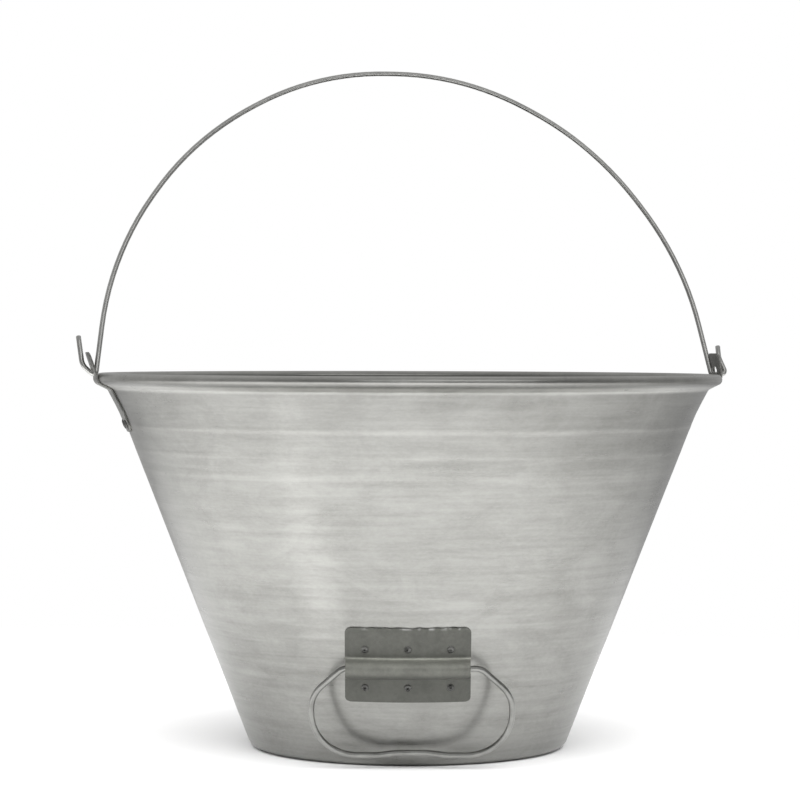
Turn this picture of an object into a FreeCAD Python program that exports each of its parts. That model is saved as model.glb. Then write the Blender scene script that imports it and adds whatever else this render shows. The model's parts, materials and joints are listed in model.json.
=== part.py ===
import FreeCAD, Part
import math
import os
import Sketcher
from FreeCAD import Placement, Rotation, Vector

# Galvanised sheet steel pail with a rolled, wire-stiffened rim, two ears, a swinging bail
# and a drop handle held low on its front by a pressed plate. All sizes are millimetres.
#
# Frame: the pail stands on z = 0 with its axis on Z. The ears are on +X and -X, so the
# bail turns about X. The front is towards -Y, and the handle plate sits a little off it.

DIMENSIONS = [
    # The pail's sheet, as the outline of its outer side. Corners are given before rounding.
    ("sheet_gauge", 0.9, "thickness of the pail's sheet"),
    ("wall_bottom_radius", 94.4, "outer radius of the wall's cone at z = 0"),
    ("wall_top_radius", 180.72, "outer radius of the wall's cone at wall_height"),
    ("wall_height", 222.2, "height at which wall_top_radius is measured"),
    ("recess_depth", 3.0, "how far the middle of the base is pressed up"),
    ("recess_radius", 74.0, "radius of the pressed-up middle"),
    ("stand_radius", 79.0, "inner radius of the ring that the pail stands on"),
    ("recess_bend", 4.0, "rounding of the two bends of the recess"),
    ("base_bend", 7.5, "rounding between base and wall"),
    ("ease_radius", 172.48, "where the wall eases outward below the rim"),
    ("ease_height", 201.0, "height of that corner"),
    ("ease_bend", 100.0, "rounding of that corner"),
    ("flare_corner_radius", 180.0, "where the wall is turned out under the rim"),
    ("flare_corner_height", 215.2, "height of that corner"),
    ("flare_bend", 4.0, "rounding of the flare"),
    # The rolled rim and the wire inside it.
    ("curl_centre_radius", 185.0, "radius of the rim wire's centre line"),
    ("curl_centre_height", 221.2, "height of the rim wire's centre line"),
    ("curl_size", 3.15, "outer radius of the rolled rim's section"),
    ("curl_turn", 300.0, "degrees the sheet is rolled round the wire"),
    ("rim_wire_size", 2.2, "radius of the wire inside the rim"),
    # Ears: a strap outside the wall and rim, with a hole for the bail.
    ("ear_gauge", 1.0, "thickness of the strap"),
    ("ear_half_width", 12.5, "half the width of the strap"),
    ("ear_foot_height", 190.0, "height of the strap's lower end"),
    ("ear_top_height", 236.8, "height of the strap's upper end"),
    ("ear_foot_rounding", 4.0, "corner rounding of the lower end"),
    ("ear_top_rounding", 5.0, "corner rounding of the upper end"),
    ("ear_sweep", 12.0, "degrees of the strap's band before its outline trims it"),
    ("ear_foot_radius", 168.37, "inner side of the strap at its lower end"),
    ("ear_ease_radius", 172.62, "corner of the strap where the wall eases outward"),
    ("ear_ease_height", 200.94, "height of that corner"),
    ("ear_flare_radius", 180.11, "corner of the strap under the rim"),
    ("ear_flare_height", 215.09, "height of that corner"),
    ("ear_flare_bend", 3.85, "rounding of that corner"),
    ("left_rim_radius", 188.35, "inner side of the left strap beside the rim"),
    ("left_turn_height", 219.15, "height where the left strap turns up round the rim"),
    ("left_turn_bend", 3.3, "rounding of that turn"),
    ("left_lean_height", 222.2, "height above which the left strap leans outward"),
    ("left_end_radius", 194.2, "inner side of the left strap at ear_end_height"),
    ("right_rim_radius", 192.5, "inner side of the right strap, bent out clear of the rim"),
    ("right_turn_height", 221.2, "height where the right strap turns up"),
    ("right_turn_bend", 2.5, "rounding of that turn"),
    ("right_lean_height", 224.6, "height above which the right strap leans inward"),
    ("right_end_radius", 190.4, "inner side of the right strap at ear_end_height"),
    ("ear_lean_bend", 6.0, "rounding where a strap starts to lean"),
    ("ear_end_height", 239.5, "end of the strap before its rounded top is cut"),
    ("ear_hole_size", 3.4, "radius of the hole for the bail"),
    ("ear_rivet_height", 194.5, "height of the two rivets in each ear"),
    ("ear_rivet_spacing", 13.0, "distance between them"),
    # Bail: one wire. Corners of its half outline, before rounding, from the pivot axis.
    ("pivot_height", 225.7, "height of the bail's pivot axis"),
    ("bail_wire_size", 1.5, "radius of the bail's wire"),
    ("bail_lean", 17.6, "degrees the bail leans back at rest"),
    ("bail_top", 193.45, "centre line of the bail above its pivot axis"),
    ("bail_crown_across", 46.1, "end of the level crown"),
    ("bail_crown_bend", 165.0, "rounding of the crown"),
    ("bail_shoulder_across", 125.2, "shoulder corner across"),
    ("bail_shoulder_up", 148.75, "shoulder corner up"),
    ("bail_shoulder_bend", 186.0, "rounding of the shoulder"),
    ("bail_side_across", 177.6, "side corner across"),
    ("bail_side_up", 72.25, "side corner up"),
    ("bail_side_bend", 195.0, "rounding of the side"),
    ("left_hook_across", 188.65, "corner where the left leg turns out through its ear"),
    ("left_hook_down", 3.7, "how far that corner is below the pivot axis"),
    ("left_tail_across", 196.3, "corner where the left tail turns up outside the ear"),
    ("left_tail_up", 3.4, "height of that corner"),
    ("left_tail_bend", 9.0, "rounding of that corner"),
    ("left_tip_across", 198.2, "tip of the left tail across"),
    ("left_tip_up", 21.6, "tip of the left tail up"),
    ("right_hook_across", 189.6, "corner where the right leg turns out through its ear"),
    ("right_hook_down", 1.7, "how far that corner is below the pivot axis"),
    ("right_tail_across", 199.25, "corner where the right tail turns back up"),
    ("right_tail_bend", 2.4, "rounding of that corner"),
    ("right_bend_across", 195.4, "corner where the right tail stands up beside its leg"),
    ("right_bend_up", 9.0, "height of that corner"),
    ("right_bend_size", 12.0, "rounding of that corner"),
    ("right_tip_across", 195.3, "tip of the right tail across"),
    ("right_tip_up", 16.6, "tip of the right tail up"),
    ("hook_bend", 1.9, "rounding of the two hooks"),
    # Plate that holds the drop handle, wrapped on the wall.
    ("plate_offset_angle", 11.0, "degrees the plate is turned from the front towards -X"),
    ("plate_height", 61.0, "height of the plate's middle"),
    ("plate_gauge", 0.9, "thickness of the plate"),
    ("plate_gap", 0.05, "solder film between plate and wall"),
    ("plate_half_length", 35.7, "half the plate's length round the wall"),
    ("plate_half_width", 23.5, "half the plate's width up the wall"),
    ("plate_rounding", 3.0, "corner rounding of the plate"),
    ("plate_block_depth", 20.0, "how far the plate's outline is carried to each side of the wall"),
    ("bead_offset", 1.1, "how far the bead is below the plate's middle"),
    ("bead_half_width", 5.25, "outer half width of the pressed bead"),
    ("bead_rise", 10.0, "outer height of the bead above the wall"),
    ("bead_rounding", 5.0, "outer rounding of the bead"),
    ("bead_root", 6.0, "how far the arch is drawn below the wall before it is trimmed"),
    ("bead_bend_radius", 128.7, "radius of the wall in the plane square to it"),
    ("bead_sweep", 40.0, "degrees of the bead's arc before the plate's outline trims it"),
    ("rivet_across", 24.0, "outer rivets of the plate, from its middle"),
    ("rivet_above", 10.0, "upper row of rivets above the plate's middle"),
    ("rivet_below", 14.0, "lower row of rivets below the plate's middle"),
    # Rivets, drawn from the upset end inside the pail outwards.
    ("rivet_shank_size", 1.2, "radius of a rivet's shank"),
    ("rivet_clearance", 0.05, "clearance of a shank in its hole"),
    ("rivet_drill", 12.0, "length of the drill for a rivet's hole"),
    ("rivet_tail_size", 2.1, "radius of the upset end"),
    ("rivet_tail_length", 0.8, "thickness of the upset end"),
    ("rivet_tail_rounding", 0.35, "rounding of the upset end"),
    ("rivet_seat", 0.03, "clearance under each end of a rivet"),
    ("plate_rivet_head_size", 2.1, "radius of a plate rivet's head"),
    ("plate_rivet_head_length", 1.1, "height of a plate rivet's head"),
    ("plate_rivet_rounding", 0.95, "rounding of a plate rivet's head"),
    ("ear_rivet_head_size", 3.0, "radius of an ear rivet's head"),
    ("ear_rivet_head_length", 0.9, "height of an ear rivet's head"),
    ("ear_rivet_rounding", 0.8, "rounding of an ear rivet's head"),
    # Drop handle: a closed ring of wire. Corners of its half outline from the hinge axis.
    ("handle_wire_size", 1.7, "radius of the handle's wire"),
    ("handle_off_wall", 2.1, "hinge axis above the wall"),
    ("handle_tilt", 4.0, "degrees the handle hangs off the wall"),
    ("handle_slide", 2.2, "how far the handle has slid along its bead"),
    ("handle_butt", 0.4, "half the gap between the wire's ends inside the bead"),
    ("handle_grip_drop", 52.0, "centre line of the grip's middle below the hinge axis"),
    ("handle_wave_across", 9.0, "where the grip dips from its raised middle"),
    ("handle_low_across", 20.0, "where the grip is level again"),
    ("handle_low_drop", 53.5, "centre line of the grip's ends"),
    ("handle_wave_bend", 30.0, "rounding of the grip's two easy bends"),
    ("handle_foot_across", 56.9, "lower corner across"),
    ("handle_foot_bend", 26.0, "rounding of the lower corner"),
    ("handle_side_across", 56.9, "widest point of the side"),
    ("handle_side_drop", 16.5, "how far that point is below the hinge axis"),
    ("handle_side_bend", 20.0, "rounding of the side"),
    ("handle_shoulder_across", 39.2, "corner beside the bead"),
    ("handle_shoulder_bend", 8.0, "rounding of the shoulder"),
]

SIZE = {alias: number for alias, number, _ in DIMENSIONS}

WALL_TAPER = (SIZE["wall_top_radius"] - SIZE["wall_bottom_radius"]) / SIZE["wall_height"]
WALL_LEAN = math.degrees(math.atan(WALL_TAPER))

LEFT_EAR = 180.0
RIGHT_EAR = 0.0
PLATE_TURN = -90.0 - SIZE["plate_offset_angle"]

doc = FreeCAD.newDocument("pail")


def fill_sheet():
    """Write every driving dimension into the spreadsheet, with its alias."""
    sheet = doc.addObject("Spreadsheet::Sheet", "dims")
    sheet.Label = "dims"
    for row, (alias, number, meaning) in enumerate(DIMENSIONS, start=1):
        sheet.set(f"A{row}", meaning)
        sheet.set(f"B{row}", str(number))
        sheet.setAlias(f"B{row}", alias)
    doc.recompute()


# ---------------------------------------------------------------- sizes and expressions

def terms(item):
    """A coordinate is a number, an alias, or a list of aliases to add up; "-" subtracts."""
    return item if isinstance(item, (list, tuple)) else [item]


def amount(item):
    """The number that a coordinate stands for."""
    total = 0.0
    for term in terms(item):
        if not isinstance(term, str):
            total += term
        elif term.startswith("-"):
            total -= SIZE[term[1:]]
        else:
            total += SIZE[term]
    return total


def expression(item):
    """The spreadsheet expression that a coordinate stands for, or None for a number."""
    if not any(isinstance(term, str) for term in terms(item)):
        return None
    parts = []
    for term in terms(item):
        if not isinstance(term, str):
            parts.append(f"+ {term}")
        elif term.startswith("-"):
            parts.append(f"- dims.{term[1:]}")
        else:
            parts.append(f"+ dims.{term}")
    return "0 " + " ".join(parts)


def bind(feature, **sizes):
    """Bind properties of a feature to the spreadsheet."""
    for name, item in sizes.items():
        feature.setExpression(name, expression(item))


# ---------------------------------------------------------------- sketches

def limit(sketch, kind, *arguments, size=None):
    """Add one constraint, bound to the spreadsheet when it has a size."""
    if size is None:
        sketch.addConstraint(Sketcher.Constraint(kind, *arguments))
        return
    index = sketch.addConstraint(Sketcher.Constraint(kind, *arguments, amount(size)))
    if expression(size):
        sketch.setExpression(f"Constraints[{index}]", expression(size))


def place_point(sketch, geometry, position, across, up):
    """Hold a point of the sketch at the given distances from the sketch's origin."""
    if amount(across) == 0:
        limit(sketch, "PointOnObject", geometry, position, -2)
    else:
        limit(sketch, "DistanceX", -1, 1, geometry, position, size=across)
    if amount(up) == 0:
        limit(sketch, "PointOnObject", geometry, position, -1)
    else:
        limit(sketch, "DistanceY", -1, 1, geometry, position, size=up)


def corner_arc(before, corner, after, radius):
    """Tangent points and centre of the arc that rounds a corner, and its sense."""
    back = (before - corner).normalize()
    ahead = (after - corner).normalize()
    half = back.getAngle(ahead) / 2
    reach = radius / math.tan(half)
    middle = (back + ahead).normalize()
    centre = corner + middle * (radius / math.sin(half))
    left_turn = back.cross(ahead).z < 0
    return corner + back * reach, corner + ahead * reach, centre, left_turn


def draw_outline(sketch, corners, closed=True, curl=None):
    """Draw straight runs joined by tangent arcs.

    Each corner is (across, up) or (across, up, radius). An open outline may end in a
    curl: (centre across, centre up, radius, turn in degrees), a left-hand arc that the
    last run meets as a tangent.
    """
    points = [Vector(amount(corner[0]), amount(corner[1]), 0) for corner in corners]
    count = len(points)
    starts = list(points)
    ends = list(points)
    arcs = {}
    if curl:
        hub = Vector(amount(curl[0]), amount(curl[1]), 0)
        size = amount(curl[2])
        towards = hub - points[-1]
        swing = math.asin(size / towards.Length)
        run = Rotation(Vector(0, 0, 1), math.degrees(swing)).inverted().multVec(towards)
        touch = points[-1] + run.normalize() * math.sqrt(towards.Length ** 2 - size ** 2)
    for place, corner in enumerate(corners):
        if len(corner) < 3:
            continue
        before = points[place - 1]
        after = touch if curl and place == count - 1 else points[(place + 1) % count]
        arrive, leave, centre, left_turn = corner_arc(before, points[place], after, amount(corner[2]))
        ends[place] = arrive
        starts[place] = leave
        spoke = arrive - centre if left_turn else leave - centre
        tip = leave - centre if left_turn else arrive - centre
        first = math.atan2(spoke.y, spoke.x)
        last = math.atan2(tip.y, tip.x)
        circle = Part.Circle(centre, Vector(0, 0, 1), amount(corner[2]))
        index = sketch.addGeometry(Part.ArcOfCircle(circle, first, last), False)
        arcs[place] = (index, 1 if left_turn else 2)
    lines = {}
    runs = count if closed or curl else count - 1
    for place in range(runs):
        target = touch if curl and place == count - 1 else ends[(place + 1) % count]
        lines[place] = sketch.addGeometry(Part.LineSegment(starts[place], target), False)
    for place, corner in enumerate(corners):
        leaving = lines.get(place)
        arriving = lines.get(place - 1 if place else count - 1) if closed or place else None
        if place in arcs:
            arc, entry = arcs[place]
            mark = sketch.addGeometry(Part.Point(points[place]), True)
            place_point(sketch, mark, 1, corner[0], corner[1])
            limit(sketch, "PointOnObject", mark, 1, arriving)
            limit(sketch, "PointOnObject", mark, 1, leaving)
            limit(sketch, "Tangent", arriving, 2, arc, entry)
            limit(sketch, "Tangent", leaving, 1, arc, 3 - entry)
            limit(sketch, "Radius", arc, size=corner[2])
        elif arriving is None:
            place_point(sketch, leaving, 1, corner[0], corner[1])
        else:
            place_point(sketch, arriving, 2, corner[0], corner[1])
            if leaving is not None:
                limit(sketch, "Coincident", arriving, 2, leaving, 1)
    if curl:
        spoke = touch - hub
        first = math.atan2(spoke.y, spoke.x)
        span = math.radians(amount(curl[3]))
        circle = Part.Circle(hub, Vector(0, 0, 1), size)
        arc = sketch.addGeometry(Part.ArcOfCircle(circle, first, first + span), False)
        limit(sketch, "Tangent", lines[count - 1], 2, arc, 1)
        place_point(sketch, arc, 3, curl[0], curl[1])
        limit(sketch, "Radius", arc, size=curl[2])


def free_sketch(name, placement):
    """A sketch outside any body, in the plane that its placement gives."""
    sketch = doc.addObject("Sketcher::SketchObject", name)
    sketch.Placement = placement
    return sketch


def body_sketch(body, role, name):
    """A sketch on one of the body's own origin planes."""
    plane = next(item for item in body.Origin.OriginFeatures if item.Role == role)
    sketch = body.newObject("Sketcher::SketchObject", name)
    sketch.AttachmentSupport = [(plane, "")]
    sketch.MapMode = "FlatFace"
    return sketch


UPRIGHT = Placement(Vector(), Rotation(Vector(1, 0, 0), 90))


# ---------------------------------------------------------------- placing on the wall

def wall_place(turn, height, across=0.0, along=0.0, outward=0.0):
    """Placement on the wall's outer side: X level along it, Y up it and Z out of it.

    turn is the direction from the axis in degrees, height the reference height there.
    across, along and outward move the place sideways, up the slope and off the wall.
    """
    lean = math.radians(WALL_LEAN)
    level = height + along * math.cos(lean)
    radius = SIZE["wall_bottom_radius"] + WALL_TAPER * level
    turn += math.degrees(math.asin(across / radius))
    heading = Rotation(Vector(0, 0, 1), turn + 90)
    tilt = heading.multiply(Rotation(Vector(1, 0, 0), 90 + WALL_LEAN))
    foot = heading.multVec(Vector(0, -radius, level))
    return Placement(foot + tilt.multVec(Vector(0, 0, outward)), tilt)


# ---------------------------------------------------------------- small builders

def fused(name, pieces):
    """One shape of several, for cutting or trimming."""
    joined = doc.addObject("Part::MultiFuse", name)
    joined.Shapes = pieces
    return joined


def cut_from(name, base, tool):
    """The base with the tool's shape taken away."""
    result = doc.addObject("Part::Cut", name)
    result.Base = base
    result.Tool = tool
    return result


def trimmed(name, base, tool):
    """The part of the base that lies inside the tool."""
    result = doc.addObject("Part::Common", name)
    result.Base = base
    result.Tool = tool
    return result


def sheet_section(name, outline, gauge):
    """The section of a sheet: the closed face between an outline and its offset."""
    section = doc.addObject("Part::Offset2D", name)
    section.Source = outline
    section.Mode = "Skin"
    section.Fill = True
    bind(section, Value=gauge)
    return section


def rivet_places():
    """Where each rivet goes: its node's name and its seat on the wall's outer side."""
    places = []
    half = SIZE["ear_rivet_spacing"] / 2
    for side, turn in (("left", LEFT_EAR), ("right", RIGHT_EAR)):
        for number, across in enumerate((-half, half), start=1):
            seat = wall_place(turn, SIZE["ear_rivet_height"], across)
            places.append((f"{side}_ear_rivet_{number}", side, seat))
    number = 0
    for along in (SIZE["rivet_above"], -SIZE["rivet_below"]):
        for across in (-SIZE["rivet_across"], 0.0, SIZE["rivet_across"]):
            number += 1
            seat = wall_place(PLATE_TURN, SIZE["plate_height"], across, along)
            places.append((f"plate_rivet_{number}", "plate", seat))
    return places


def rivet_holes():
    """Cylinders that drill the rivet holes, by the piece that each passes through."""
    length = SIZE["rivet_drill"]
    holes = {"left": [], "right": [], "plate": []}
    for name, group, seat in rivet_places():
        hole = doc.addObject("Part::Cylinder", f"hole_{name}")
        bind(hole, Radius=["rivet_shank_size", "rivet_clearance"])
        hole.Height = length
        hole.Placement = seat.multiply(Placement(Vector(0, 0, -length / 2), Rotation()))
        holes[group].append(hole)
    return holes


# ---------------------------------------------------------------- the pieces

def make_bucket_body(holes):
    """Base, wall and rolled rim, raised from one sheet."""
    outline = free_sketch("body_outline", UPRIGHT)
    corners = [
        (0, "recess_depth"),
        ("recess_radius", "recess_depth", "recess_bend"),
        ("stand_radius", 0, "recess_bend"),
        ("wall_bottom_radius", 0, "base_bend"),
        ("ease_radius", "ease_height", "ease_bend"),
        ("flare_corner_radius", "flare_corner_height", "flare_bend"),
    ]
    curl = ("curl_centre_radius", "curl_centre_height", "curl_size", "curl_turn")
    draw_outline(outline, corners, closed=False, curl=curl)
    section = sheet_section("body_section", outline, "-sheet_gauge")
    shell = doc.addObject("Part::Revolution", "body_shell")
    shell.Source = section
    shell.Axis = Vector(0, 0, 1)
    shell.Angle = 360
    drilled = fused("body_holes", holes["left"] + holes["right"] + holes["plate"])
    body = cut_from("bucket_body", shell, drilled)
    body.Label = "bucket_body"
    return body


def make_rim_wire():
    """The stiffening wire that the rim is rolled round."""
    wire = doc.addObject("Part::Torus", "rim_wire")
    wire.Label = "rim_wire"
    bind(wire, Radius1="curl_centre_radius", Radius2="rim_wire_size")
    wire.Placement = Placement(Vector(0, 0, SIZE["curl_centre_height"]), Rotation())
    return wire


def make_ear(side, turn, holes):
    """A strap bent to the wall and the rim, with a rounded top and the bail's hole."""
    swing = Placement(Vector(), Rotation(Vector(0, 0, 1), turn))
    outline = free_sketch(f"{side}_ear_outline", UPRIGHT)
    corners = [
        ("ear_foot_radius", "ear_foot_height"),
        ("ear_ease_radius", "ear_ease_height", "ease_bend"),
        ("ear_flare_radius", "ear_flare_height", "ear_flare_bend"),
        (f"{side}_rim_radius", f"{side}_turn_height", f"{side}_turn_bend"),
        (f"{side}_rim_radius", f"{side}_lean_height", "ear_lean_bend"),
        (f"{side}_end_radius", "ear_end_height"),
    ]
    draw_outline(outline, corners, closed=False)
    section = sheet_section(f"{side}_ear_section", outline, "ear_gauge")
    band = doc.addObject("Part::Revolution", f"{side}_ear_band")
    band.Source = section
    band.Axis = Vector(0, 0, 1)
    bind(band, Angle="ear_sweep")
    band.Symmetric = True
    inner_edge = SIZE["wall_bottom_radius"]
    facing = Rotation(Vector(0, 1, 0), Vector(0, 0, 1), Vector(1, 0, 0), "XYZ")
    front = free_sketch(f"{side}_ear_front", Placement(Vector(inner_edge, 0, 0), facing))
    draw_outline(front, [
        ("-ear_half_width", "ear_foot_height", "ear_foot_rounding"),
        ("ear_half_width", "ear_foot_height", "ear_foot_rounding"),
        ("ear_half_width", "ear_top_height", "ear_top_rounding"),
        ("-ear_half_width", "ear_top_height", "ear_top_rounding"),
    ])
    shape = doc.addObject("Part::Extrusion", f"{side}_ear_shape")
    shape.Base = front
    shape.DirMode = "Custom"
    shape.Dir = Vector(1, 0, 0)
    shape.LengthFwd = 2 * inner_edge
    shape.Solid = True
    blank = trimmed(f"{side}_ear_blank", band, shape)
    blank.Placement = swing
    pivot = doc.addObject("Part::Cylinder", f"{side}_ear_pivot_hole")
    bind(pivot, Radius="ear_hole_size", Height="ear_half_width")
    start = Vector(SIZE["curl_centre_radius"], 0, SIZE["pivot_height"])
    pivot.Placement = swing.multiply(Placement(start, Rotation(Vector(0, 1, 0), 90)))
    ear = cut_from(f"{side}_ear", blank, fused(f"{side}_ear_holes", holes[side] + [pivot]))
    ear.Label = f"{side}_ear"
    return ear


def mirrored(corners):
    """The same corners on the other side of the middle."""
    return [(f"-{across}" if across else 0, *rest) for across, *rest in corners]


def sweep_wire(body, left, right, wire_size):
    """A round wire swept both ways from the middle, along two open outlines."""
    ring = body_sketch(body, "YZ_Plane", f"{body.Name}_wire")
    start_up = right[0][1]
    start = Vector(0, amount(start_up), 0)
    circle = ring.addGeometry(Part.Circle(start, Vector(0, 0, 1), amount(wire_size)), False)
    place_point(ring, circle, 3, 0, start_up)
    limit(ring, "Radius", circle, size=wire_size)
    for name, corners in (("right", right), ("left", left)):
        path = body_sketch(body, "XZ_Plane", f"{body.Name}_{name}_path")
        draw_outline(path, corners, closed=False)
        pipe = body.newObject("PartDesign::AdditivePipe", f"{body.Name}_{name}_half")
        pipe.Profile = ring
        pipe.Spine = (path, [])
    body.Tip = pipe


def make_bail():
    """The carrying bail: one bent wire, hooked out through the ears at both ends."""
    body = doc.addObject("PartDesign::Body", "bail")
    body.Label = "bail"
    side = [
        (0, "bail_top"),
        ("bail_crown_across", "bail_top", "bail_crown_bend"),
        ("bail_shoulder_across", "bail_shoulder_up", "bail_shoulder_bend"),
        ("bail_side_across", "bail_side_up", "bail_side_bend"),
    ]
    left = side + [
        ("left_hook_across", "-left_hook_down", "hook_bend"),
        ("left_tail_across", "left_tail_up", "left_tail_bend"),
        ("left_tip_across", "left_tip_up"),
    ]
    right = side + [
        ("right_hook_across", "-right_hook_down", "hook_bend"),
        ("right_tail_across", "-right_hook_down", "right_tail_bend"),
        ("right_bend_across", "right_bend_up", "right_bend_size"),
        ("right_tip_across", "right_tip_up"),
    ]
    sweep_wire(body, mirrored(left), right, "bail_wire_size")
    lean = Rotation(Vector(1, 0, 0), -SIZE["bail_lean"])
    body.Placement = Placement(Vector(0, 0, SIZE["pivot_height"]), lean)
    return body


def make_drop_handle():
    """The handle at the foot of the wall: a ring of wire whose ends meet in the bead."""
    body = doc.addObject("PartDesign::Body", "drop_handle")
    body.Label = "drop_handle"
    half = [
        (0, "-handle_grip_drop"),
        ("handle_wave_across", "-handle_grip_drop", "handle_wave_bend"),
        ("handle_low_across", "-handle_low_drop", "handle_wave_bend"),
        ("handle_foot_across", "-handle_low_drop", "handle_foot_bend"),
        ("handle_side_across", "-handle_side_drop", "handle_side_bend"),
        ("handle_shoulder_across", 0, "handle_shoulder_bend"),
        ("handle_butt", 0),
    ]
    sweep_wire(body, mirrored(half), half, "handle_wire_size")
    seat = wall_place(PLATE_TURN, SIZE["plate_height"], 0.0, -SIZE["bead_offset"], SIZE["handle_off_wall"])
    hang = Rotation(Vector(1, 0, 0), -90 - SIZE["handle_tilt"])
    body.Placement = seat.multiply(Placement(Vector(SIZE["handle_slide"], 0, 0), hang))
    return body


def arch(name, centre, half_width, rise, rounding):
    """A solid arch swept round the wall, to shape the bead or to hollow it."""
    frame = centre.Rotation
    slope = frame.multVec(Vector(0, 1, 0))
    normal = frame.multVec(Vector(0, 0, 1))
    level = frame.multVec(Vector(1, 0, 0))
    section = free_sketch(f"{name}_section", Placement(centre.Base, Rotation(slope, normal, level, "XYZ")))
    other_side = [term[1:] if term.startswith("-") else f"-{term}" for term in half_width]
    draw_outline(section, [
        (other_side, "-bead_root"),
        (half_width, "-bead_root"),
        (half_width, rise, rounding),
        (other_side, rise, rounding),
    ])
    solid = doc.addObject("Part::Revolution", name)
    solid.Source = section
    solid.Axis = slope
    solid.Base = centre.Base - normal * SIZE["bead_bend_radius"]
    solid.Symmetric = True
    solid.Solid = True
    bind(solid, Angle="bead_sweep")
    return solid


def wall_cone(name, *extra):
    """A solid cone whose side is the wall's outer side, moved out by the extra sizes."""
    cone = doc.addObject("Part::Cone", name)
    slant = "cos(atan((dims.wall_top_radius - dims.wall_bottom_radius) / dims.wall_height))"
    offset = " + ".join(f"dims.{alias}" for alias in extra)
    cone.setExpression("Radius1", f"dims.wall_bottom_radius + ({offset}) / {slant}")
    cone.setExpression("Radius2", f"dims.wall_top_radius + ({offset}) / {slant}")
    bind(cone, Height="wall_height")
    return cone


def make_handle_plate(holes):
    """The plate wrapped on the wall, with a pressed bead that holds the drop handle."""
    middle = wall_place(PLATE_TURN, SIZE["plate_height"])
    bead_place = wall_place(PLATE_TURN, SIZE["plate_height"], 0.0, -SIZE["bead_offset"])
    outside = wall_cone("plate_outside", "plate_gap", "plate_gauge")
    inside = wall_cone("plate_inside", "plate_gap")
    ridge = arch("bead_outside", bead_place, ["bead_half_width"], "bead_rise", "bead_rounding")
    channel = arch("bead_inside", bead_place, ["bead_half_width", "-plate_gauge"],
                   ["bead_rise", "-plate_gauge"], ["bead_rounding", "-plate_gauge"])
    sunk = middle.multiply(Placement(Vector(0, 0, -SIZE["plate_block_depth"]), Rotation()))
    outline = free_sketch("plate_outline", sunk)
    draw_outline(outline, [
        ("-plate_half_length", "-plate_half_width", "plate_rounding"),
        ("plate_half_length", "-plate_half_width", "plate_rounding"),
        ("plate_half_length", "plate_half_width", "plate_rounding"),
        ("-plate_half_length", "plate_half_width", "plate_rounding"),
    ])
    block = doc.addObject("Part::Extrusion", "plate_block")
    block.Base = outline
    block.DirMode = "Custom"
    block.Dir = middle.Rotation.multVec(Vector(0, 0, 1))
    block.LengthFwd = 2 * SIZE["plate_block_depth"]
    block.Solid = True
    blank = trimmed("plate_blank", fused("plate_full", [outside, ridge]), block)
    hollow = fused("plate_hollow", [inside, channel] + holes["plate"])
    plate = cut_from("handle_plate", blank, hollow)
    plate.Label = "handle_plate"
    return plate


def make_rivet(name, group, seat):
    """A round-head rivet through the piece and the wall, upset inside the pail."""
    kind = "plate_rivet" if group == "plate" else "ear_rivet"
    gauge = "plate_gauge" if group == "plate" else "ear_gauge"
    body = doc.addObject("PartDesign::Body", name)
    body.Label = name
    section = body_sketch(body, "XZ_Plane", f"{name}_section")
    tail = ["rivet_tail_length"]
    grip = tail + ["rivet_seat", "sheet_gauge", "plate_gap", gauge, "rivet_seat"]
    if group != "plate":
        grip = grip + ["plate_gap", "plate_gap"]
    head = grip + [f"{kind}_head_length"]
    draw_outline(section, [
        (0, 0),
        ("rivet_tail_size", 0, "rivet_tail_rounding"),
        ("rivet_tail_size", tail),
        ("rivet_shank_size", tail),
        ("rivet_shank_size", grip),
        (f"{kind}_head_size", grip),
        (f"{kind}_head_size", head, f"{kind}_rounding"),
        (0, head),
    ])
    turned = body.newObject("PartDesign::Revolution", f"{name}_turned")
    turned.Profile = section
    turned.ReferenceAxis = (section, ["V_Axis"])
    turned.Angle = 360
    body.Tip = turned
    inset = SIZE["sheet_gauge"] + SIZE["rivet_seat"] + SIZE["rivet_tail_length"]
    body.Placement = seat.multiply(Placement(Vector(0, 0, -inset), Rotation()))
    return body


def check_document():
    """Stop if any object of the document failed to compute."""
    for item in doc.Objects:
        trouble = [word for word in item.State if word in ("Invalid", "Error")]
        if trouble:
            raise RuntimeError(f"{item.Label}: {trouble}")


def write_pieces(pieces):
    """Check each piece's shape and write it to parts/NODE.step."""
    os.makedirs("parts", exist_ok=True)
    for piece in pieces:
        shape = piece.Shape
        if shape.isNull() or not shape.isValid() or len(shape.Solids) != 1:
            raise RuntimeError(f"{piece.Label}: bad shape")
        shape.exportStep(f"parts/{piece.Label}.step")
        print(f"{piece.Label}: {shape.Volume:.1f} mm3")


fill_sheet()
hole_tools = rivet_holes()
sub_parts = [
    make_bucket_body(hole_tools),
    make_rim_wire(),
    make_ear("left", LEFT_EAR, hole_tools),
    make_ear("right", RIGHT_EAR, hole_tools),
    make_bail(),
    make_handle_plate(hole_tools),
    make_drop_handle(),
]
sub_parts += [make_rivet(name, group, seat) for name, group, seat in rivet_places()]
doc.recompute()
check_document()
write_pieces(sub_parts)
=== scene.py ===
import json
import math

import bmesh
import bpy
from mathutils import Matrix, Quaternion, Vector, noise


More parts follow.
